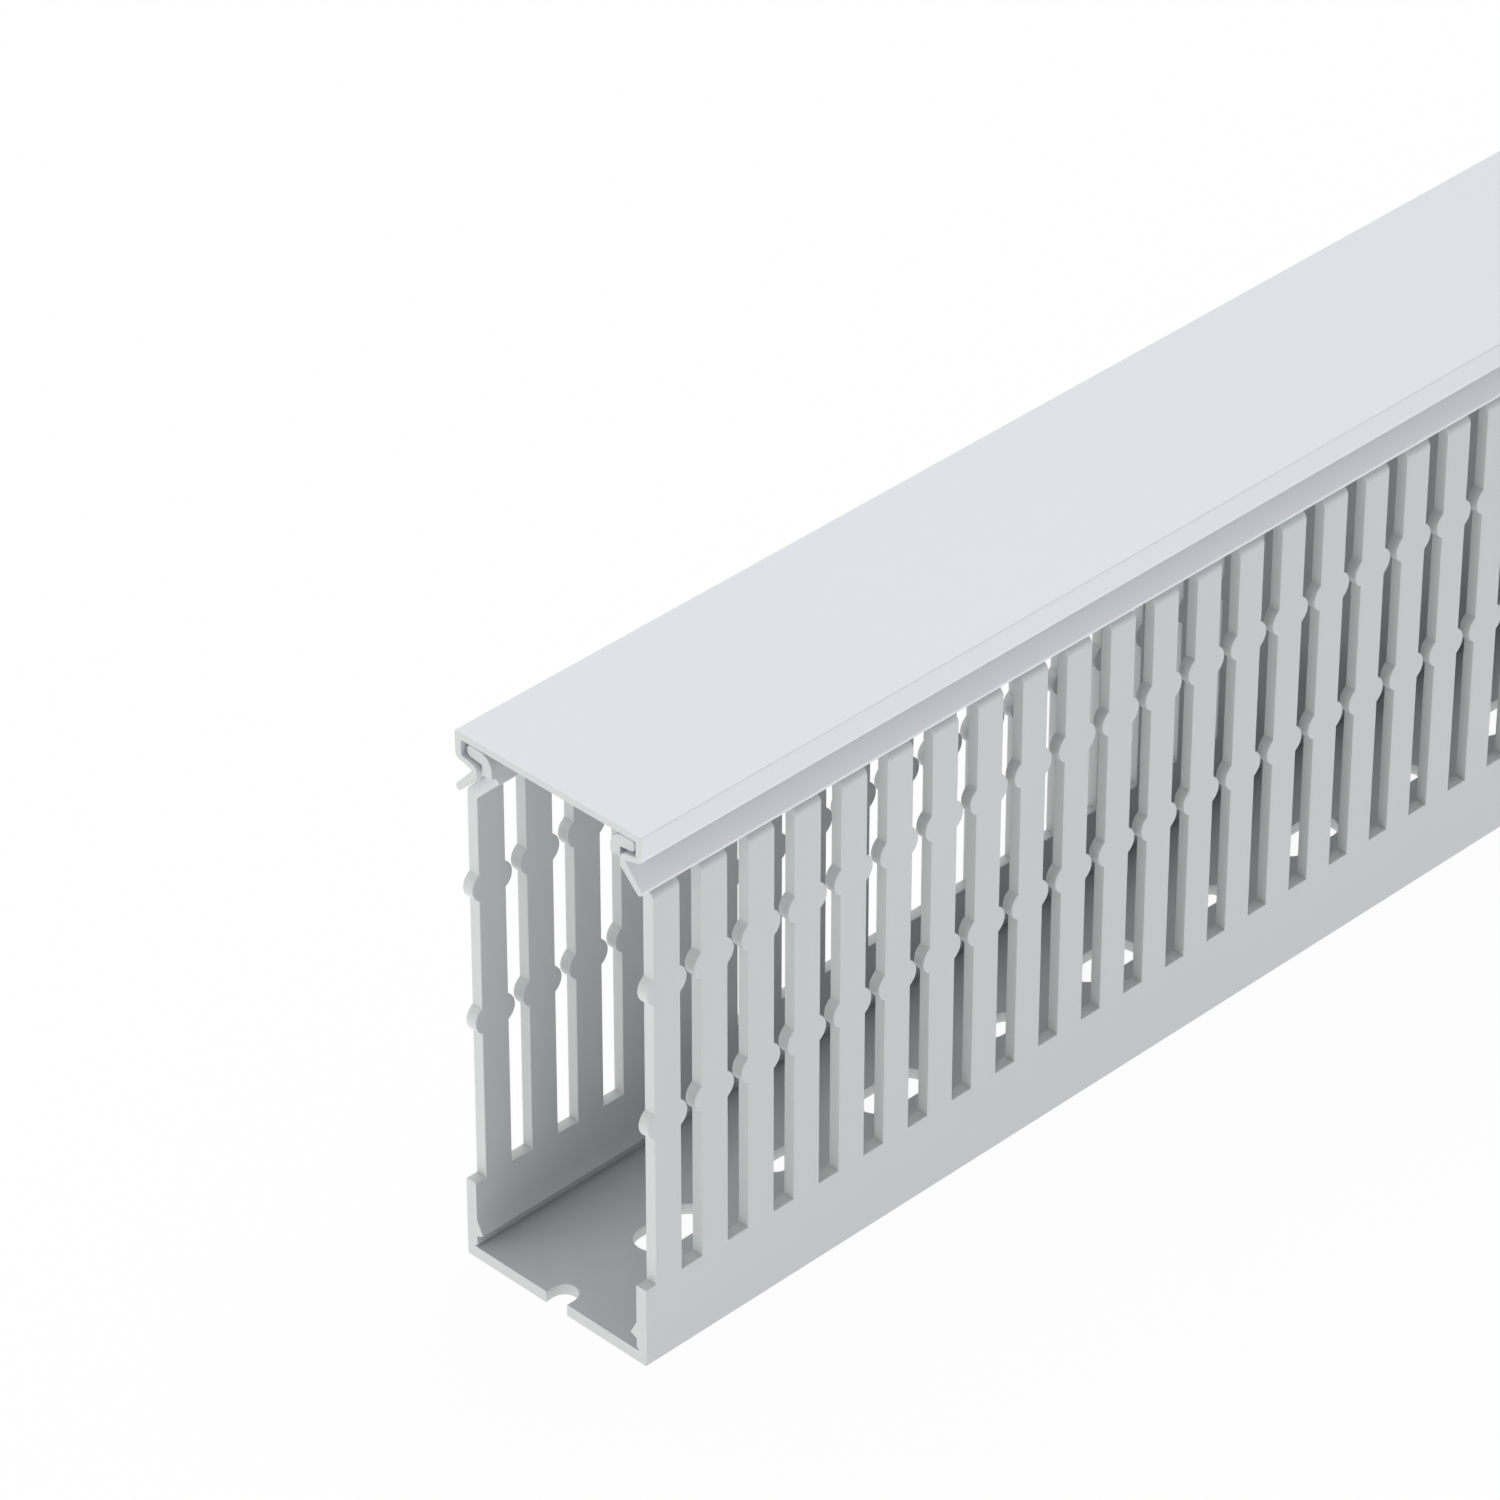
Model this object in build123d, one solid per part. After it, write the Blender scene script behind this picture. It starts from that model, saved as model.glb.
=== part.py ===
from build123d import *
import os

# Slotted wiring duct with its clip-on cover, in millimetres.
# X runs along the duct, Y across it, Z up. The origin is the middle of the underside.
# Profile points are (depth in from the outer side face, height).

# Driving dimensions
WIDTH = 50.0
HEIGHT = 125.0
WALL = 2.7
PITCH = 12.5
SLOT = 5.5
PITCHES_PER_BAY = 5
BAYS = 8

# Side slots, narrowed by two pairs of guide bumps
SLOT_BOTTOM = 18.6
BUMP_HEIGHTS = (56.5, 88.0)
BUMP_RADIUS = 3.5
BUMP_REACH = 1.75
BUMP_CORNERS = 12

# Hooked head of a finger, from the cover's underside down
HOOK_DROP = 0.7
HOOK_THICK = 2.5
HOOK_SLOPE = 0.35
HOOK_TIP = 2.6
HOOK_BEND = 2.4
NECK = 3.55
NECK_DEPTH = 6.45
HEAD_RISE = 0.75
HEAD_GAP = 1.4

# Wall root: a nub under the cables and a score line to snap the wall off along
NUB_REACH = 1.65
NUB_TIP = 6.3
NUB_RISE = 3.2
NUB_FALL = 0.8
SCORE_DEPTH = 1.0
SCORE_TIP = 0.25
SCORE_RISE = 0.95

# Slots in the floor, as length and width
SMALL_SLOT = (10.0, 5.8)
LARGE_SLOT = (17.8, 8.4)

# Cover
LID = 1.6
SKIRT = 1.6
SKIRT_HEIGHT = 6.35
SHELF = 1.45
SHELF_FALL = 0.85
KNEE_GAP = 0.15
LIP = 1.5
LIP_GAP = 0.15
LIP_ROUND = 0.7
BEND_ROUND = 0.9

ROOT_2 = 2**0.5
BAY = PITCHES_PER_BAY * PITCH
LENGTH = BAYS * BAY
HOOK_TOP = HEIGHT - LID - HOOK_DROP
HOOK_UNDER = HOOK_TOP - HOOK_THICK
WEB_TOP = HOOK_UNDER - NECK
WEB_START = WEB_TOP - NECK_DEPTH
HEAD_BOTTOM = WEB_TOP + HEAD_RISE


def both_sides(points):
    """The closed outline of a profile drawn for the side at +Y, with its mirror at -Y."""
    near = [(WIDTH / 2 - depth, height) for depth, height in points]
    far = [(-y, height) for y, height in reversed(near)]
    return make_face(Polyline(*near, *far, close=True))


def rounded(face, corners, radius):
    """The face with these profile corners rounded on both sides."""
    spots = [(side * (WIDTH / 2 - depth), height) for depth, height in corners for side in (-1, 1)]
    picked = [v for v in face.vertices() if any(abs(v.X - x) + abs(v.Y - y) < 0.01 for x, y in spots)]
    return fillet(picked, radius)


def run(profile):
    """The profile, drawn looking along the duct, extruded to the duct's length."""
    return extrude(Plane.YZ * profile, LENGTH / 2, both=True)


def channel_profile():
    neck_back = NECK_DEPTH + WALL
    web_under = WEB_START + WALL - WALL * ROOT_2
    bevel = HOOK_BEND * (1 - 1 / ROOT_2)
    return both_sides([
        (WALL, WALL),
        (WALL - SCORE_DEPTH, WALL + SCORE_TIP),
        (WALL, WALL + SCORE_TIP + SCORE_RISE),
        (WALL, NUB_TIP - NUB_FALL),
        (WALL + NUB_REACH, NUB_TIP),
        (WALL, NUB_TIP + NUB_RISE),
        (WALL, web_under),
        (neck_back, web_under + NECK_DEPTH),
        (neck_back, HOOK_TOP - HOOK_BEND),
        (neck_back - bevel, HOOK_TOP - bevel),
        (neck_back - HOOK_BEND, HOOK_TOP),
        (HOOK_TIP, HOOK_TOP),
        (HOOK_TIP, HOOK_UNDER),
        (NECK_DEPTH, HOOK_UNDER - HOOK_SLOPE),
        (NECK_DEPTH, WEB_TOP),
        (0, WEB_START),
        (0, 0),
    ])


def side_slot():
    """One slot seen from the side: narrowed by its bumps, and a thin gap between heads."""
    tall = HEAD_BOTTOM - SLOT_BOTTOM
    slot = Pos(0, SLOT_BOTTOM + tall / 2) * Rectangle(SLOT, tall)
    slot += Pos(0, HEAD_BOTTOM) * Rectangle(HEAD_GAP, 2 * (HEIGHT - HEAD_BOTTOM))
    bump_centre = SLOT / 2 + BUMP_RADIUS - BUMP_REACH
    bump = RegularPolygon(BUMP_RADIUS, BUMP_CORNERS)
    for height in BUMP_HEIGHTS:
        for x in (-bump_centre, bump_centre):
            slot -= Pos(x, height) * bump
    return slot


def along(count, pitch, first=0.0):
    """Places a pitch apart, counted from the duct's end."""
    return [Pos(first - LENGTH / 2 + i * pitch, 0, 0) for i in range(count)]


def floor_slot(size):
    return extrude(SlotOverall(*size), 2 * WALL, both=True)


def duct_channel():
    slot = extrude(Plane.XZ * side_slot(), WIDTH, both=True)
    cuts = [place * slot for place in along(BAYS * PITCHES_PER_BAY + 1, PITCH)]
    cuts += [place * floor_slot(SMALL_SLOT) for place in along(BAYS + 1, BAY)]
    cuts += [place * floor_slot(LARGE_SLOT) for place in along(BAYS, BAY, BAY / 2)]
    return run(channel_profile()) - cuts


def cover_profile():
    foot = HEIGHT - SKIRT_HEIGHT
    knee = NECK_DEPTH - KNEE_GAP
    lip_under = WEB_START + LIP_GAP * ROOT_2
    lip_over = lip_under + LIP * ROOT_2
    end = LIP_ROUND * (1 - ROOT_2)
    bends = [(0, foot), (knee, foot + SHELF - SHELF_FALL), (knee, lip_under + knee)]
    lip_end = [(end + LIP / ROOT_2, lip_over + end - LIP / ROOT_2), (end, lip_over + end)]
    face = both_sides([
        (SKIRT, HEIGHT - LID),
        (SKIRT, foot + SHELF),
        *bends[1:],
        *lip_end,
        (foot - SHELF_FALL - lip_over, foot - SHELF_FALL),
        (SKIRT, foot),
        bends[0],
        (0, HEIGHT),
    ])
    return rounded(rounded(face, bends, BEND_ROUND), lip_end, LIP_ROUND)


def cover():
    return run(cover_profile())


os.makedirs("parts", exist_ok=True)
export_step(duct_channel(), "parts/duct_channel.step")
export_step(cover(), "parts/cover.step")
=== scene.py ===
"""Slotted wiring duct with its clip-on cover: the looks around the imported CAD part."""

import bisect
import math

import bmesh
import bpy
from mathutils import Matrix, Vector
from mathutils.geometry import delaunay_2d_cdt


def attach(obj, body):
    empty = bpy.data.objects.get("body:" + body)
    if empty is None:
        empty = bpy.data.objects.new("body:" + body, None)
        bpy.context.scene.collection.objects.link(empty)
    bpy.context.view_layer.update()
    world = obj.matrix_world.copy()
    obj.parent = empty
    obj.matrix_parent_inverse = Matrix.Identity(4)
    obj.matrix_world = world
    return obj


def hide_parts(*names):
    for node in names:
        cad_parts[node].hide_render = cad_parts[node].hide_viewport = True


bl_info = {
    "name": "Slotted wiring duct",
    "version": (1, 0, 0),
    "blender": (4, 5, 0),
    "location": "3D View > Sidebar > Duct",
    "description": "Builds a slotted wiring duct with its sliding cover and a plain studio",
    "category": "Add Mesh",
}

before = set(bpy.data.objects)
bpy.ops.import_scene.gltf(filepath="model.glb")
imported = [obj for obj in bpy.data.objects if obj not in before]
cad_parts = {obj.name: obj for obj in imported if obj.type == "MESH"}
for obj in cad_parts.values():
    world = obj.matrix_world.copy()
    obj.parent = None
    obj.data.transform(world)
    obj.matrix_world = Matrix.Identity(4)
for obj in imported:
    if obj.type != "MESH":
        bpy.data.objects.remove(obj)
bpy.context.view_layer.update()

MM = 0.001
ROOT_2 = math.sqrt(2)

# Details of the channel's section that stay out of the panel
FLOOR_END = 0.4 * MM  # from the wall's inner face to where the score groove starts
SCORE_DEPTH = 1.1 * MM
SCORE_TIP = 0.28 * MM  # heights above the floor's upper face
SCORE_END = 0.6 * MM
NUB_START = 5.5 * MM  # heights above the underside
NUB_LOW = 6.2 * MM
NUB_HIGH = 6.4 * MM
NUB_HIGH_INSIDE = 6.42 * MM
NUB_END = 9.5 * MM
NUB_BLUNT = 0.06 * MM
BELOW_WEB = 8 * MM  # from the wall's last upright station up to the web
NECK_STEP = 0.45 * MM
LEDGE_DROP = 0.3 * MM
TIP_BULGE = 0.05 * MM

# Roundings of the section's corners: radii on the outer and the inner face, and steps
SCORE_BEND = (0.3 * MM, 0.12 * MM), 2
WEB_BEND = (1.4 * MM, 0.5 * MM), 4
NECK_BEND = (0.1 * MM, 0.9 * MM), 4
HOOK_BEND = (0.3 * MM, 3.4 * MM), 6
TIP_BEND = (1.2 * MM, 0.8 * MM), 4

# Details of the cover's section
LIP_SHORT = 0.05 * MM  # keeps the rounded lip inside the walls' outer faces
CREASE = 0.2 * MM
COVER_STEPS = 6

# Steps in the curves of the punched outline
BUMP_STEPS = 10
FLOOR_SLOT_STEPS = 10
SLOT_TOP_STEPS = 6

# Distances, in metres, below which points count as one
WELD = 1e-6
BAY_WELD = 2e-6
FACES_WELD = 1e-7
SAME_X = 1e-9

# A face whose normal lies this far along X is a sawn end
END_ON = 0.99

# Patterns in the plastic: scale, stretch along X, Y and Z, and detail
DIE_LINES = 900, (0.012, 1, 1), 2
CLOUDS = 14, (0.4, 1, 1), 4
GRAIN = 2600, (1, 1, 1), 2
CLOUD_TINT = 0.03
CLOUD_ROUGHNESS = 0.05
LINE_BUMP = 0.35, 0.03 * MM  # strength and distance
GRAIN_BUMP = 0.15, 0.02 * MM
PLASTIC_IOR = 1.5

# Lamps as name, place, size and power, and the point that they face
LAMPS = (
    ("top_lamp", (0.3, 0.75, 1.7), (2.0, 2.0), 20),
    ("end_lamp", (-2.0, 0.1, 1.0), (3.0, 0.7), 16),
    ("near_lamp", (0.2, -0.5, 1.7), (2.0, 1.4), 6),
)
LAMP_AIM = (-0.1, 0, 0.06)

# Light from the floor and the world. Rays that see them find a strength of 1.
FLOOR_COLOUR = (0.82, 0.82, 0.82, 1)
FLOOR_GLOW = 3.05
FLOOR_GLOW_SHARE = 0.4
FLOOR_SEEN_SHARE = 0.95
FLOOR_SIZE = 30
WORLD_LIGHT = 0.44

SENSOR_WIDTH = 36  # millimetres
CLIP_END = 20


def millimetres(name, default, about):
    """A length property, stored in metres."""
    return bpy.props.FloatProperty(
        name=name, description=about, default=default / 1000, unit="LENGTH", precision=5, min=0
    )


def share(name, default, about):
    return bpy.props.FloatProperty(
        name=name, description=about, default=default, subtype="FACTOR", min=0, max=1
    )


def colour(name, default, about):
    return bpy.props.FloatVectorProperty(
        name=name, description=about, default=default, subtype="COLOR", size=3, min=0, max=1
    )


class DuctSizes(bpy.types.PropertyGroup):
    """Sizes of the slotted channel"""

    width: millimetres("Width", 50.0, "Across both walls")
    wall: millimetres("Wall", 2.7, "Thickness of the walls and the floor")
    pitch: millimetres("Pitch", 12.5, "From one side slot to the next")
    slot: millimetres("Slot", 5.5, "Width of a side slot")
    slot_bottom: millimetres("Slot bottom", 18.6, "Height at which the side slots start")
    fingers: bpy.props.IntProperty(
        name="Fingers", description="Fingers in one bay of the floor's pattern", default=5, min=1
    )
    bays: bpy.props.IntProperty(
        name="Bays", description="Times that the floor's pattern repeats", default=8, min=1
    )
    low_bump: millimetres("Low bump", 56.5, "Height of the lower guide bumps")
    high_bump: millimetres("High bump", 88.0, "Height of the upper guide bumps")
    bump_radius: millimetres("Bump radius", 3.5, "Radius of a guide bump")
    bump_reach: millimetres("Bump reach", 1.75, "How far a guide bump narrows its slot")
    web_start: millimetres("Web start", 110.2, "Height at which the outer face leans inwards")
    neck_depth: millimetres("Neck depth", 6.45, "From the outer face in to the neck")
    head_bottom: millimetres("Head bottom", 117.4, "Height at which a finger widens to its head")
    head_gap: millimetres("Head gap", 1.4, "Gap between neighbouring heads")
    hook_under: millimetres("Hook underside", 120.0, "Height of the hook's underside at its tip")
    hook_top: millimetres("Hook top", 122.5, "Height of the hook's top")
    hook_tip: millimetres("Hook tip", 2.6, "From the outer face in to the hook's tip")
    hook_slope: millimetres("Hook slope", 0.35, "How far the hook's underside falls to the neck")
    nub_reach: millimetres("Nub reach", 1.65, "How far the wall-root nub stands out")
    small_length: millimetres("Small slot length", 10.0, "Length of the small floor slots")
    small_width: millimetres("Small slot width", 5.8, "Width of the small floor slots")
    large_length: millimetres("Large slot length", 17.8, "Length of the large floor slots")
    large_width: millimetres("Large slot width", 8.4, "Width of the large floor slots")
    edge: millimetres("Edge rounding", 0.18, "Rounding of the punched edges")


class CoverSizes(bpy.types.PropertyGroup):
    """Sizes of the clip-on cover"""

    height: millimetres("Height", 125.0, "Height of the cover's top above the floor")
    lid: millimetres("Top thickness", 1.6, "Thickness of the cover's flat top")
    skirt: millimetres("Skirt", 1.6, "Thickness of the skirts")
    skirt_height: millimetres("Skirt height", 6.35, "From the top down to the skirt's foot")
    shelf: millimetres("Shelf", 1.25, "Thickness of the shelf under the hooks")
    shelf_fall: millimetres("Shelf fall", 0.85, "How far the shelf falls on its way in")
    gap: millimetres("Gap", 0.15, "Clearance under the lip")
    knee: millimetres("Knee", 1.25, "Thickness of the knee between the shelf and the lip")
    knee_gap: millimetres("Knee gap", 0.65, "Clearance between the knee and the fingers' necks")
    lip: millimetres("Lip", 1.5, "Thickness of the flared lip")
    lip_round: millimetres("Lip rounding", 0.7, "Rounding of the lip's end")
    bend_round: millimetres("Bend rounding", 1.5, "Rounding of the skirt's foot and the knee")
    edge: millimetres("Edge rounding", 0.3, "Rounding of the cover's long top edges")


class Finish(bpy.types.PropertyGroup):
    """Colours and gloss of the two plastics"""

    duct_colour: colour("Duct", (0.455, 0.478, 0.48), "Colour of the channel")
    cover_colour: colour("Cover", (0.6, 0.612, 0.65), "Colour of the cover")
    core_colour: colour("Core", (0.47, 0.492, 0.487), "Colour of the punched and sawn faces")
    roughness: share("Roughness", 0.32, "Roughness of the extruded faces")
    cut_roughness: share("Cut roughness", 0.5, "Roughness of the punched and sawn faces")


class Studio(bpy.types.PropertyGroup):
    """Lens and place of the camera"""

    focal_length: bpy.props.FloatProperty(
        name="Focal length", description="Camera lens in millimetres", default=185.72, min=1
    )
    azimuth: bpy.props.FloatProperty(
        name="Azimuth", description="Turn of the camera from +Y towards +X",
        default=math.radians(45.086), subtype="ANGLE",
    )
    elevation: bpy.props.FloatProperty(
        name="Elevation", description="Angle at which the camera looks down",
        default=math.radians(34.876), subtype="ANGLE",
    )
    camera_place: bpy.props.FloatVectorProperty(
        name="Camera place", description="Where the camera stands",
        default=(-1.0542, -0.8549, 0.9502), subtype="XYZ", unit="LENGTH", precision=4,
    )


# Section of the channel, as pairs of points on its outer and inner face


def corner_arc(before, corner, after, radius, steps):
    """Points that round a corner of a path, from tangent to tangent."""
    into, out = (corner - before).normalized(), (after - corner).normalized()
    turn = into.angle_signed(out)
    reach = radius * math.tan(abs(turn) / 2)
    start = corner - into * reach
    side = Vector((into.y, -into.x)) * math.copysign(radius, turn)
    centre = start + side
    points = []
    for i in range(steps + 1):
        angle = -turn * i / steps
        points.append(centre + Matrix.Rotation(angle, 2) @ -side)
    return points


def wall_section(s):
    """Stations along one half of the section, from the middle of the floor to the hook's tip.

    Also returns where the upright wall's last station and the head's first station stand.
    """
    neck_back = s.neck_depth + s.wall
    web_under = s.web_start + s.wall - s.wall * ROOT_2
    web_top = s.web_start + s.neck_depth
    rim = web_under + s.neck_depth
    nub = s.wall + s.nub_reach - NUB_BLUNT

    def pair(outer, inner):
        return Vector(outer), Vector(inner)

    def upright(height):
        return pair((0, height), (s.wall, height))

    def bend(before, corner, after, rounding):
        radii, steps = rounding
        arcs = [corner_arc(b, c, a, r, steps) for b, c, a, r in zip(before, corner, after, radii)]
        return list(zip(*arcs))

    floor_end = pair((s.wall + FLOOR_END, 0), (s.wall + FLOOR_END, s.wall))
    score = pair((0, 0), (s.wall - SCORE_DEPTH, s.wall + SCORE_TIP))
    above_score = upright(s.wall + SCORE_END)
    high = upright(s.web_start - BELOW_WEB)
    web = pair((0, s.web_start), (s.wall, web_under))
    neck = pair((s.neck_depth + NECK_STEP, web_top + NECK_STEP), (neck_back, rim))
    ledge = s.head_bottom - LEDGE_DROP
    below_head = pair((s.neck_depth, ledge), (neck_back, ledge))
    hook = pair((s.neck_depth, s.hook_under - s.hook_slope), (neck_back, s.hook_top))
    tip = pair((s.hook_tip, s.hook_under), (s.hook_tip, s.hook_top))
    middle = (s.hook_under + s.hook_top) / 2
    end = pair((s.hook_tip - TIP_BULGE, middle), (s.hook_tip - TIP_BULGE, middle))
    wall = [
        pair((s.width / 2, 0), (s.width / 2, s.wall)),
        floor_end,
        *bend(floor_end, score, above_score, SCORE_BEND),
        above_score,
        upright(NUB_START),
        pair((0, NUB_LOW), (nub, NUB_LOW)),
        pair((0, NUB_HIGH), (nub, NUB_HIGH_INSIDE)),
        upright(NUB_END),
        high,
    ]
    lean = [*bend(high, web, neck, WEB_BEND), *bend(web, neck, below_head, NECK_BEND)]
    head = [
        below_head,
        *bend(below_head, hook, tip, HOOK_BEND),
        *bend(hook, tip, end, TIP_BEND),
        end,
    ]
    return wall + lean + head, len(wall) - 1, len(wall) + len(lean)


class Section:
    """Turns a place on the unrolled wall into a place on the folded one."""

    def __init__(self, s):
        self.width = s.width
        self.stations, high, ledge = wall_section(s)
        self.lengths = [0.0]
        for (a, b), (c, d) in zip(self.stations, self.stations[1:]):
            self.lengths.append(self.lengths[-1] + ((c - a).length + (d - b).length) / 2)
        self.upright_start = self.lengths[high] - self.stations[high][0].y
        self.head = self.lengths[ledge] + s.head_bottom - self.stations[ledge][0].y
        self.end = self.lengths[-1]

    def at_height(self, height):
        """Distance along the section to a height on the upright wall."""
        return self.upright_start + height

    def place(self, x, along, depth):
        """The point at x, this far along the section and this share of the way in."""
        reach = min(abs(along), self.end)
        i = min(max(bisect.bisect_right(self.lengths, reach), 1), len(self.lengths) - 1)
        span = self.lengths[i] - self.lengths[i - 1]
        t = (reach - self.lengths[i - 1]) / span
        outer = self.stations[i - 1][0].lerp(self.stations[i][0], t)
        inner = self.stations[i - 1][1].lerp(self.stations[i][1], t)
        inwards, height = outer.lerp(inner, depth)
        return Vector((x, math.copysign(self.width / 2 - inwards, along), height))


# Outline of one bay of the unrolled channel


def bump_arc(s, height):
    """A guide bump on the edge at X = slot / 2 of a slot, from its foot to its top."""
    half_angle = math.acos(1 - s.bump_reach / s.bump_radius)
    centre = s.slot / 2 + s.bump_radius - s.bump_reach
    for i in range(BUMP_STEPS + 1):
        angle = half_angle * (2 * i / BUMP_STEPS - 1)
        yield centre - s.bump_radius * math.cos(angle), height + s.bump_radius * math.sin(angle)


def slot_edge(s, section):
    """Half of a side slot's outline, from the middle of its bottom to the gap at its top."""
    bottom = section.at_height(s.slot_bottom)
    points = [(0, bottom), (s.slot / 2, bottom)]
    for height in (s.low_bump, s.high_bump):
        points += bump_arc(s, section.at_height(height))
    corner = (s.slot - s.head_gap) / 2
    for i in range(SLOT_TOP_STEPS + 1):
        angle = math.pi / 2 * i / SLOT_TOP_STEPS
        x = s.head_gap / 2 + corner * math.cos(angle)
        points.append((x, section.head - corner * (1 - math.sin(angle))))
    points.append((s.head_gap / 2, section.end))

    # A point on each straight run where the section bends
    for level in section.lengths:
        for i, ((x, a), (next_x, next_a)) in enumerate(zip(points, points[1:])):
            if abs(next_x - x) < SAME_X and a + WELD < level < next_a - WELD:
                points.insert(i + 1, (x, level))
                break
    return points


def comb(s, section):
    """Outline of one wall's fingers over a bay, from left to right."""
    edge = slot_edge(s, section)
    start = -s.fingers * s.pitch / 2
    points = []
    for i in range(s.fingers):
        left, right = start + i * s.pitch, start + (i + 1) * s.pitch
        points += [(left + x, along) for x, along in edge[i > 0:]]
        points += [(right - x, along) for x, along in reversed(edge[i < s.fingers - 1:])]
    return points


def slot_outline(length, width):
    """A floor slot round the origin, clockwise from its left end's lower side."""
    straight, radius = (length - width) / 2, width / 2
    points = []
    for side in (-1, 1):
        for i in range(FLOOR_SLOT_STEPS + 1):
            angle = math.pi * i / FLOOR_SLOT_STEPS
            x = side * (straight + radius * math.sin(angle))
            points.append((x, side * radius * math.cos(angle)))
    return points


def bay_chains(s, section):
    """Cut edges of a bay in order round it, material on the left, and then the closed slot."""
    bay = s.fingers * s.pitch
    top = comb(s, section)
    bottom = [(x, -along) for x, along in top]
    small = slot_outline(s.small_length, s.small_width)
    left_end = [(-bay / 2, s.small_width / 2)]
    left_end += [(x - bay / 2, along) for x, along in sorted(small, key=lambda p: -p[1]) if x > 0]
    left_end.append((-bay / 2, -s.small_width / 2))
    right_end = [(-x, -along) for x, along in left_end]
    chains = [bottom, right_end, top[::-1], left_end]
    return chains, slot_outline(s.large_length, s.large_width)


def inset(points, distance, closed):
    """The chain moved to its left, with mitred corners."""
    moved = []
    count = len(points)
    for i, point in enumerate(points):
        normals = []
        for a, b in ((i - 1, i), (i, i + 1)):
            if closed or (a >= 0 and b < count):
                step = Vector(points[b % count]) - Vector(points[a % count])
                normals.append(Vector((-step.y, step.x)).normalized())
        first, last = normals[0], normals[-1]
        moved.append(Vector(point) + (first + last) * distance / (1 + first.dot(last)))
    return moved


def bay_mesh(s):
    """One bay of the channel, open where it joins its neighbours."""
    section = Section(s)
    chains, hole = bay_chains(s, section)
    bay = s.fingers * s.pitch
    bm = bmesh.new()
    cut = bm.faces.layers.float.new("cut")

    def add(places, is_cut):
        face = bm.faces.new([bm.verts.new(section.place(*p)) for p in places])
        face[cut] = is_cut
        face.smooth = True

    outline = [p for chain in chains for p in inset(chain, s.edge, False)]
    inner_hole = inset(hole, s.edge, True)
    points = [*outline, *inner_hole]
    rings = [list(range(len(outline))), list(range(len(outline), len(points)))]
    lines = []
    for level in section.lengths[1:-1]:
        for along in (-level, level):
            lines.append((len(points), len(points) + 1))
            points += [Vector((-bay / 2, along)), Vector((bay / 2, along))]
    found, _, faces, *_ = delaunay_2d_cdt(points, lines, rings, 0, FACES_WELD)
    for face in faces:
        spots = [found[i] for i in face]
        centre = sum(spots, Vector((0, 0))) / len(spots)
        if inside(centre, outline) and not inside(centre, inner_hole):
            add([(p.x, p.y, 1) for p in spots], 0)
            add([(p.x, p.y, 0) for p in reversed(spots)], 0)

    round_off = s.edge / s.wall
    profile = [(1, 0), (1 - 1 / ROOT_2, 1 - 1 / ROOT_2), (0, 1)]
    rows = [(out, into * round_off) for out, into in profile]
    rows += [(out, 1 - depth) for out, depth in reversed(rows)]
    for chain, closed in [*((c, False) for c in chains), (hole, True)]:
        levels = [(inset(chain, s.edge * out, closed), depth) for out, depth in rows]
        for (low, low_depth), (high, high_depth) in zip(levels, levels[1:]):
            for i in range(len(chain) - (not closed)):
                j = (i + 1) % len(chain)
                add([
                    (*low[i], low_depth), (*low[j], low_depth),
                    (*high[j], high_depth), (*high[i], high_depth),
                ], 1)
    bmesh.ops.remove_doubles(bm, verts=bm.verts, dist=WELD)
    mesh = bpy.data.meshes.new("duct_bay")
    bm.to_mesh(mesh)
    bm.free()
    return mesh


def inside(point, ring):
    """Whether a point lies inside a closed ring of points."""
    odd = False
    for a, b in zip(ring, [*ring[1:], ring[0]]):
        if (a.y > point.y) != (b.y > point.y):
            odd ^= point.x < a.x + (point.y - a.y) / (b.y - a.y) * (b.x - a.x)
    return odd


# Nodes


def feed(tree, socket, value):
    """Gives an input its value, which is a plain one or another node's output."""
    if isinstance(value, bpy.types.NodeSocket):
        tree.links.new(value, socket)
    else:
        socket.default_value = value


def maths(tree, operation, first, second):
    """The result of a Math node."""
    node = tree.nodes.new("ShaderNodeMath")
    node.operation = operation
    feed(tree, node.inputs[0], first)
    feed(tree, node.inputs[1], second)
    return node.outputs[0]


def vector(tree, axis, value):
    """A vector of this length along one axis."""
    node = tree.nodes.new("ShaderNodeCombineXYZ")
    feed(tree, node.inputs[axis], value)
    return node.outputs[0]


def ranged(tree, value, low, high):
    """The value, from 0 to 1, spread from low to high."""
    node = tree.nodes.new("ShaderNodeMapRange")
    node.inputs["To Min"].default_value = low
    node.inputs["To Max"].default_value = high
    tree.links.new(value, node.inputs["Value"])
    return node.outputs[0]


def new_tree(name, sizes):
    """A tree from geometry to geometry with named inputs."""
    tree = bpy.data.node_groups.new(name, "GeometryNodeTree")
    tree.interface.new_socket("Geometry", in_out="INPUT", socket_type="NodeSocketGeometry")
    for label, kind in sizes:
        tree.interface.new_socket(label, in_out="INPUT", socket_type=kind)
    tree.interface.new_socket("Geometry", in_out="OUTPUT", socket_type="NodeSocketGeometry")
    return tree, tree.nodes.new("NodeGroupInput"), tree.nodes.new("NodeGroupOutput")


def chained(tree, start, *steps):
    """Joins nodes in a row through their geometry sockets and returns the last output."""
    for node, socket in steps:
        tree.links.new(start, node.inputs[socket])
        start = node.outputs[0]
    return start


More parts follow.
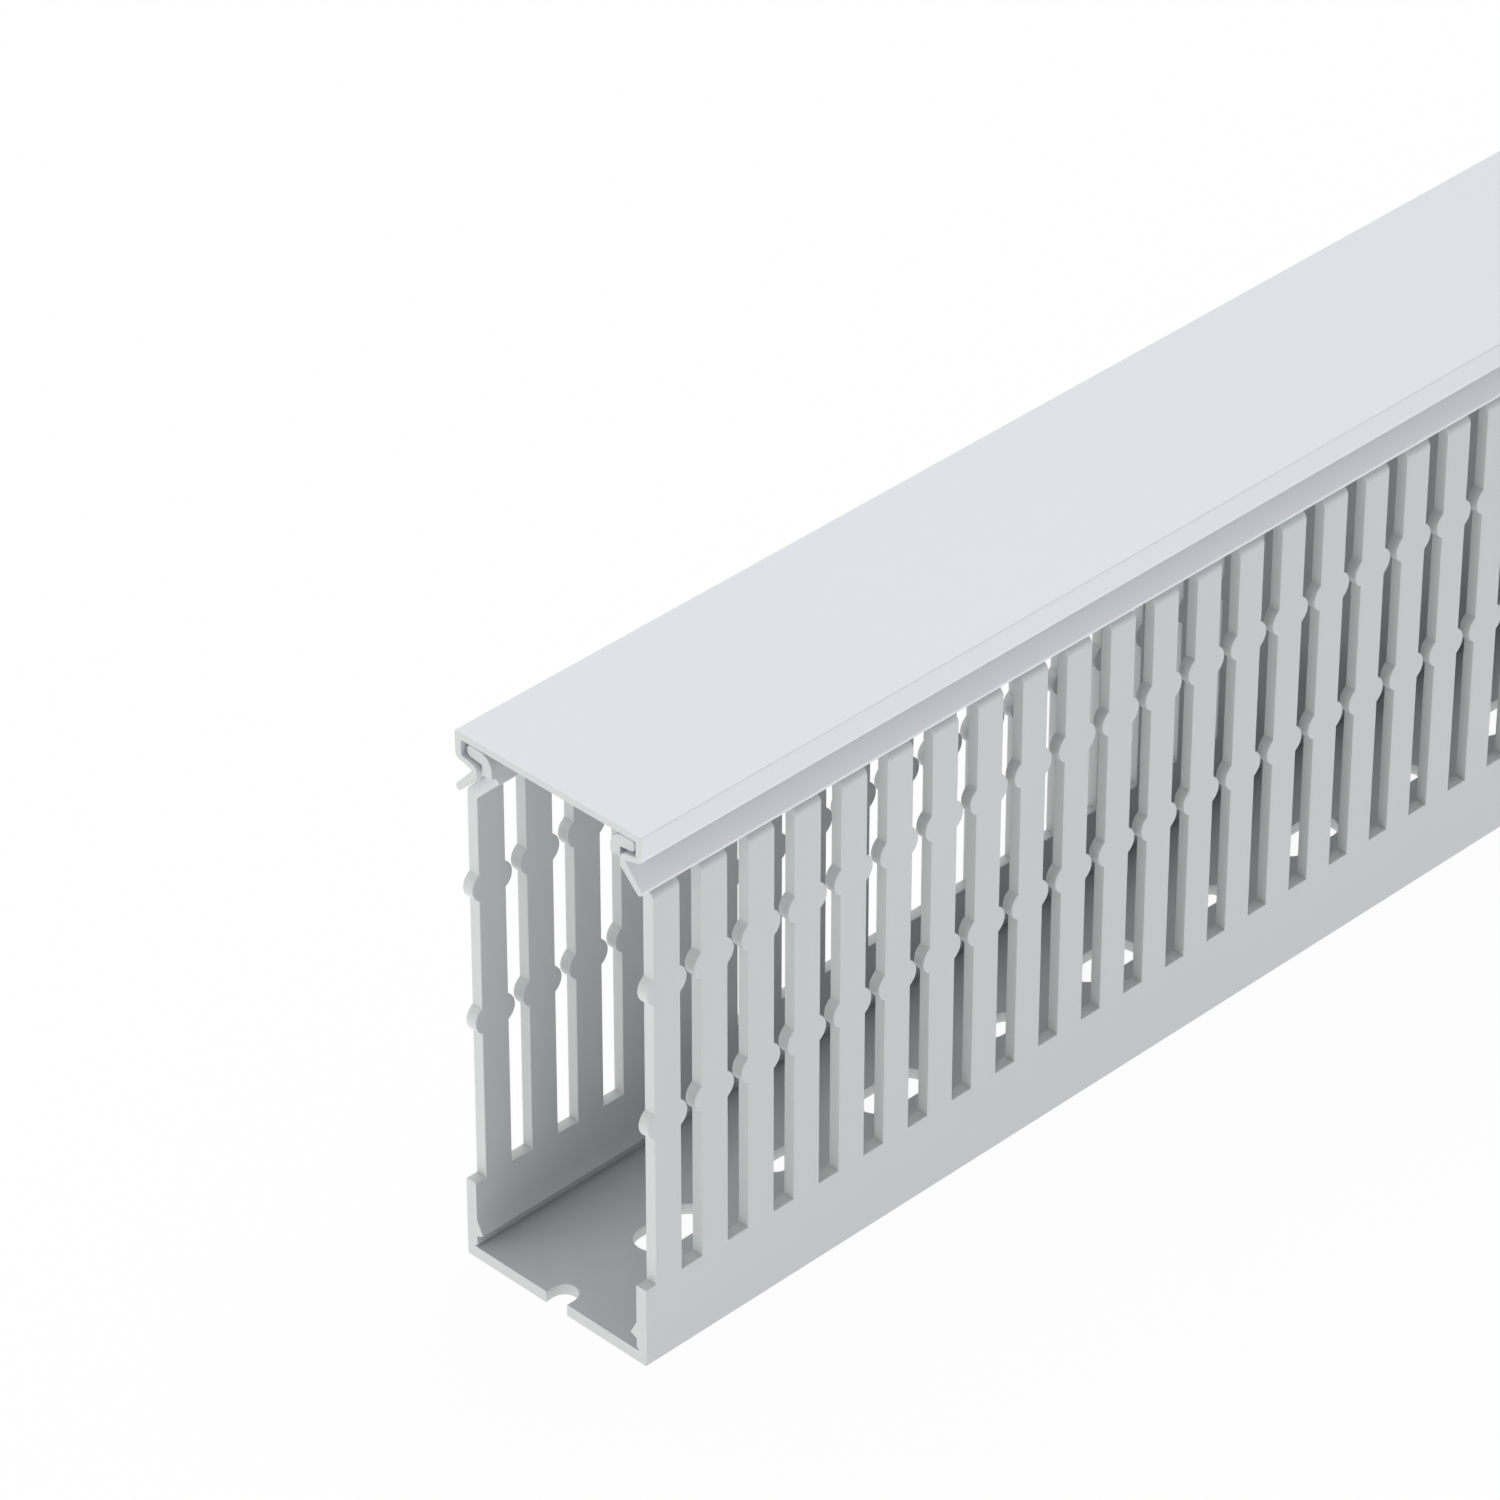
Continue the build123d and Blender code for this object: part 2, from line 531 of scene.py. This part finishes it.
def repeat_tree():
    """Repeats a bay along X and welds the bays into one body."""
    tree, given, result = new_tree("repeat_along_duct", [
        ("Bays", "NodeSocketInt"),
        ("Bay Length", "NodeSocketFloat"),
        ("Material", "NodeSocketMaterial"),
    ])
    new, link = tree.nodes.new, tree.links.new
    bays, pitch = given.outputs["Bays"], given.outputs["Bay Length"]
    span = maths(tree, "MULTIPLY", maths(tree, "SUBTRACT", bays, 1), pitch)
    line = new("GeometryNodeMeshLine")
    link(bays, line.inputs["Count"])
    link(vector(tree, "X", pitch), line.inputs["Offset"])
    link(vector(tree, "X", maths(tree, "MULTIPLY", span, -0.5)), line.inputs["Start Location"])
    place = new("GeometryNodeInstanceOnPoints")
    link(given.outputs["Geometry"], place.inputs["Instance"])
    weld = new("GeometryNodeMergeByDistance")
    weld.inputs["Distance"].default_value = BAY_WELD
    finish = new("GeometryNodeSetMaterial")
    link(given.outputs["Material"], finish.inputs["Material"])
    end = chained(
        tree, line.outputs["Mesh"],
        (place, "Points"), (new("GeometryNodeRealizeInstances"), "Geometry"),
        (weld, "Geometry"), (finish, "Geometry"),
    )
    link(end, result.inputs["Geometry"])
    return tree


def sweep_tree():
    """Sweeps a closed profile along X and caps its ends."""
    tree, given, result = new_tree("sweep_along_duct", [
        ("Length", "NodeSocketFloat"), ("Material", "NodeSocketMaterial"),
    ])
    new, link = tree.nodes.new, tree.links.new
    fill = new("GeometryNodeFillCurve")
    fill.mode = "NGONS"
    extrude = new("GeometryNodeExtrudeMesh")
    extrude.inputs["Individual"].default_value = False
    link(vector(tree, "Z", given.outputs["Length"]), extrude.inputs["Offset"])
    base = new("GeometryNodeFlipFaces")
    both = new("GeometryNodeJoinGeometry")
    weld = new("GeometryNodeMergeByDistance")
    weld.inputs["Distance"].default_value = WELD
    finish = new("GeometryNodeSetMaterial")
    link(given.outputs["Material"], finish.inputs["Material"])
    filled = chained(tree, given.outputs["Geometry"], (fill, "Curve"))
    link(filled, extrude.inputs["Mesh"])
    link(filled, base.inputs["Mesh"])
    link(extrude.outputs["Mesh"], both.inputs["Geometry"])
    link(base.outputs["Mesh"], both.inputs["Geometry"])
    end = chained(tree, both.outputs[0], (weld, "Geometry"), (finish, "Geometry"))
    link(end, result.inputs["Geometry"])
    return tree


def grow(name, data, tree, **inputs):
    """An object of the tree's result as a plain mesh, with the inputs given by name."""
    seed = bpy.data.objects.new(name + "_seed", data)
    bpy.context.collection.objects.link(seed)
    modifier = seed.modifiers.new(tree.name, "NODES")
    modifier.node_group = tree
    sockets = {i.name.replace(" ", "_").lower(): i.identifier for i in tree.interface.items_tree}
    for label, value in inputs.items():
        modifier[sockets[label]] = value
    evaluated = seed.evaluated_get(bpy.context.evaluated_depsgraph_get())
    mesh = bpy.data.meshes.new_from_object(evaluated)
    bpy.data.objects.remove(seed)
    if mesh.materials[0] is None:
        mesh.materials.pop(index=0)
    mesh.name = name
    obj = bpy.data.objects.new(name, mesh)
    bpy.context.collection.objects.link(obj)
    return obj


def mark_sawn_ends(mesh):
    """Flags the faces that look along X as cut."""
    if "cut" not in mesh.attributes:
        mesh.attributes.new("cut", "FLOAT", "FACE")
    for face, cut in zip(mesh.polygons, mesh.attributes["cut"].data):
        if abs(face.normal.x) > END_ON:
            cut.value = 1


def soften(obj, sharp=math.radians(50)):
    """Smooth shading that keeps flat faces flat, with creases where faces turn sharply."""
    mesh = obj.data
    mesh.shade_smooth()
    mesh.set_sharp_from_angle(angle=sharp)
    weigh = obj.modifiers.new("weighted_normals", "WEIGHTED_NORMAL")
    weigh.keep_sharp = True
    evaluated = obj.evaluated_get(bpy.context.evaluated_depsgraph_get())
    obj.data = bpy.data.meshes.new_from_object(evaluated)
    obj.modifiers.clear()


def hand_over(obj, body, node):
    """The finished piece rides on its body and stands for its CAD node."""
    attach(obj, body)
    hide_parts(node)


def cover_outline(c, d):
    """The cover's section as a closed path of (Y, Z) points."""
    foot = c.height - c.skirt_height
    knee = d.neck_depth - c.knee_gap
    lip_under = d.web_start + c.gap * ROOT_2
    lip_over = lip_under + c.lip * ROOT_2
    end = c.lip_round * (1 - ROOT_2) + LIP_SHORT
    across = c.lip / ROOT_2
    corners = [
        (c.skirt, c.height - c.lid, CREASE),
        (c.skirt, foot + c.shelf, CREASE * 2),
        (knee, foot + c.shelf - c.shelf_fall, c.bend_round),
        (knee, lip_under + knee, c.lip_round),
        (end + across, lip_over + end - across, c.lip_round),
        (end, lip_over + end, c.lip_round),
        (knee - c.knee, foot - c.shelf_fall, CREASE),
        (c.skirt, foot, CREASE),
        (0, foot, c.bend_round),
        (0, c.height, c.edge),
    ]
    near = [(d.width / 2 - depth, height, radius) for depth, height, radius in corners]
    ring = near + [(-y, z, radius) for y, z, radius in reversed(near)]
    points = []
    for i, corner in enumerate(ring):
        path = [Vector(c[:2]) for c in (ring[i - 1], corner, ring[(i + 1) % len(ring)])]
        points += corner_arc(*path, corner[2], COVER_STEPS)
    return points


# Materials


def plastic(name, tint, s):
    """Satin extruded plastic, with faint die lines along X and rougher punched edges."""
    material = bpy.data.materials.new(name)
    material.use_nodes = True
    tree = material.node_tree
    new, link = tree.nodes.new, tree.links.new
    shader = tree.nodes["Principled BSDF"]
    shader.inputs["IOR"].default_value = PLASTIC_IOR
    place = new("ShaderNodeTexCoord").outputs["Object"]
    cut = new("ShaderNodeAttribute")
    cut.attribute_name = "cut"

    def noise(scale, stretch, detail):
        spread = new("ShaderNodeMapping")
        spread.inputs["Scale"].default_value = stretch
        texture = new("ShaderNodeTexNoise")
        texture.inputs["Scale"].default_value = scale
        texture.inputs["Detail"].default_value = detail
        link(place, spread.inputs["Vector"])
        link(spread.outputs[0], texture.inputs["Vector"])
        return texture.outputs["Fac"]

    def mixed(kind, factor, first, second):
        node = new("ShaderNodeMix")
        node.data_type = kind
        link(factor, node.inputs["Factor"])
        feed(tree, node.inputs["A"], first)
        feed(tree, node.inputs["B"], second)
        return node.outputs["Result"]

    def bump(height, strength, distance):
        node = new("ShaderNodeBump")
        node.inputs["Strength"].default_value = strength
        node.inputs["Distance"].default_value = distance
        link(height, node.inputs["Height"])
        return node

    clouds = noise(*CLOUDS)
    dark, light = [
        (*(min(c * factor, 1) for c in tint), 1) for factor in (1 - CLOUD_TINT, 1 + CLOUD_TINT)
    ]
    shade = mixed("RGBA", clouds, dark, light)
    tone = mixed("RGBA", cut.outputs["Fac"], shade, (*s.core_colour, 1))
    link(tone, shader.inputs["Base Color"])
    satin = ranged(tree, clouds, s.roughness - CLOUD_ROUGHNESS, s.roughness + CLOUD_ROUGHNESS)
    rough = mixed("FLOAT", cut.outputs["Fac"], satin, s.cut_roughness)
    link(rough, shader.inputs["Roughness"])
    lines = bump(noise(*DIE_LINES), *LINE_BUMP)
    grain = bump(noise(*GRAIN), *GRAIN_BUMP)
    link(lines.outputs[0], grain.inputs["Normal"])
    link(grain.outputs[0], shader.inputs["Normal"])
    return material


def seen_rays(tree):
    """1 for camera, glossy and transmission rays, else 0."""
    path = tree.nodes.new("ShaderNodeLightPath")
    seen = path.outputs["Is Camera Ray"]
    for ray in ("Is Glossy Ray", "Is Transmission Ray"):
        seen = maths(tree, "MAXIMUM", seen, path.outputs[ray])
    return seen


def floor_white():
    """A floor that looks white, still takes a faint shadow and throws light back up."""
    material = bpy.data.materials.new("floor_white")
    material.use_nodes = True
    tree = material.node_tree
    tree.nodes.clear()
    new, link = tree.nodes.new, tree.links.new
    own = new("ShaderNodeBsdfDiffuse")
    own.inputs["Color"].default_value = FLOOR_COLOUR
    glow = new("ShaderNodeEmission")
    seen = seen_rays(tree)
    link(ranged(tree, seen, FLOOR_GLOW, 1), glow.inputs["Strength"])
    mix = new("ShaderNodeMixShader")
    link(ranged(tree, seen, FLOOR_GLOW_SHARE, FLOOR_SEEN_SHARE), mix.inputs["Fac"])
    link(own.outputs[0], mix.inputs[1])
    link(glow.outputs[0], mix.inputs[2])
    out = new("ShaderNodeOutputMaterial")
    link(mix.outputs[0], out.inputs["Surface"])
    return material


# Operators


class DUCT_OT_channel(bpy.types.Operator):
    """Build the slotted channel"""

    bl_idname = "duct.channel"
    bl_label = "Slotted channel"

    def execute(self, context):
        s = context.scene.duct_sizes
        finish = context.scene.duct_finish
        material = plastic("duct_satin", finish.duct_colour, finish)
        channel = grow(
            "slotted_channel", bay_mesh(s), repeat_tree(),
            bays=s.bays, bay_length=s.fingers * s.pitch, material=material,
        )
        bm = bmesh.new()
        bm.from_mesh(channel.data)
        open_edges = [e for e in bm.edges if e.is_boundary]
        caps = bmesh.ops.holes_fill(bm, edges=open_edges, sides=0)["faces"]
        bmesh.ops.triangulate(bm, faces=caps, ngon_method="EAR_CLIP")
        bm.to_mesh(channel.data)
        bm.free()
        mark_sawn_ends(channel.data)
        soften(channel)
        hand_over(channel, "duct", "duct_channel")
        return {"FINISHED"}


class DUCT_OT_cover(bpy.types.Operator):
    """Build the sliding cover"""

    bl_idname = "duct.cover"
    bl_label = "Cover"

    def execute(self, context):
        s = context.scene.duct_sizes
        finish = context.scene.duct_finish
        length = s.bays * s.fingers * s.pitch
        outline = cover_outline(context.scene.cover_sizes, s)
        curve = bpy.data.curves.new("cover_profile", "CURVE")
        curve.dimensions = "3D"
        spline = curve.splines.new("POLY")
        spline.points.add(len(outline) - 1)
        for point, (y, z) in zip(spline.points, outline):
            point.co = (y, z, 0, 1)
        spline.use_cyclic_u = True
        material = plastic("cover_satin", finish.cover_colour, finish)
        cover = grow("sliding_cover", curve, sweep_tree(), length=length, material=material)
        cover.data.transform(Matrix((
            (0, 0, 1, -length / 2),
            (1, 0, 0, 0),
            (0, 1, 0, 0),
            (0, 0, 0, 1),
        )))
        mark_sawn_ends(cover.data)
        soften(cover)
        hand_over(cover, "lid", "cover")
        return {"FINISHED"}


class DUCT_OT_studio(bpy.types.Operator):
    """Set the camera, the lamps and a white floor"""

    bl_idname = "duct.studio"
    bl_label = "Studio"

    def execute(self, context):
        s = context.scene.duct_studio
        data = bpy.data.cameras.new("camera")
        data.lens = s.focal_length
        data.sensor_width = SENSOR_WIDTH
        data.clip_end = CLIP_END
        camera = bpy.data.objects.new("camera", data)
        forward = Vector((
            math.sin(s.azimuth) * math.cos(s.elevation),
            math.cos(s.azimuth) * math.cos(s.elevation),
            -math.sin(s.elevation),
        ))
        camera.rotation_mode = "QUATERNION"
        camera.rotation_quaternion = forward.to_track_quat("-Z", "Y")
        camera.location = s.camera_place
        context.collection.objects.link(camera)
        context.scene.camera = camera

        for lamp in LAMPS:
            self.lamp(context, *lamp)

        bpy.ops.mesh.primitive_plane_add(size=FLOOR_SIZE)
        floor = context.active_object
        floor.name = "floor"
        floor.data.materials.append(floor_white())

        world = bpy.data.worlds.new("world")
        context.scene.world = world
        world.use_nodes = True
        tree = world.node_tree
        background = tree.nodes["Background"]
        background.inputs["Color"].default_value = (1, 1, 1, 1)
        strength = ranged(tree, seen_rays(tree), WORLD_LIGHT, 1)
        tree.links.new(strength, background.inputs["Strength"])
        context.scene.view_settings.view_transform = "Standard"
        return {"FINISHED"}

    def lamp(self, context, name, place, size, power):
        """A rectangular lamp that faces the duct."""
        data = bpy.data.lights.new(name, "AREA")
        data.shape = "RECTANGLE"
        data.size, data.size_y = size
        data.energy = power
        lamp = bpy.data.objects.new(name, data)
        lamp.location = place
        lamp.rotation_mode = "QUATERNION"
        towards = Vector(LAMP_AIM) - lamp.location
        lamp.rotation_quaternion = towards.to_track_quat("-Z", "Y")
        context.collection.objects.link(lamp)


class DUCT_PT_panel(bpy.types.Panel):
    """Lists the steps that build the duct"""

    bl_label = "Slotted wiring duct"
    bl_space_type = "VIEW_3D"
    bl_region_type = "UI"
    bl_category = "Duct"

    def draw(self, context):
        for operator in (DUCT_OT_channel, DUCT_OT_cover, DUCT_OT_studio):
            self.layout.operator(operator.bl_idname)


CLASSES = (
    DuctSizes, CoverSizes, Finish, Studio,
    DUCT_OT_channel, DUCT_OT_cover, DUCT_OT_studio, DUCT_PT_panel,
)


def register():
    for cls in CLASSES:
        bpy.utils.register_class(cls)
    bpy.types.Scene.duct_sizes = bpy.props.PointerProperty(type=DuctSizes)
    bpy.types.Scene.cover_sizes = bpy.props.PointerProperty(type=CoverSizes)
    bpy.types.Scene.duct_finish = bpy.props.PointerProperty(type=Finish)
    bpy.types.Scene.duct_studio = bpy.props.PointerProperty(type=Studio)


def unregister():
    for name in ("duct_sizes", "cover_sizes", "duct_finish", "duct_studio"):
        delattr(bpy.types.Scene, name)
    for cls in reversed(CLASSES):
        bpy.utils.unregister_class(cls)


def main():
    register()
    bpy.ops.duct.channel()
    bpy.ops.duct.cover()
    bpy.ops.duct.studio()


if __name__ == "__main__":
    main()
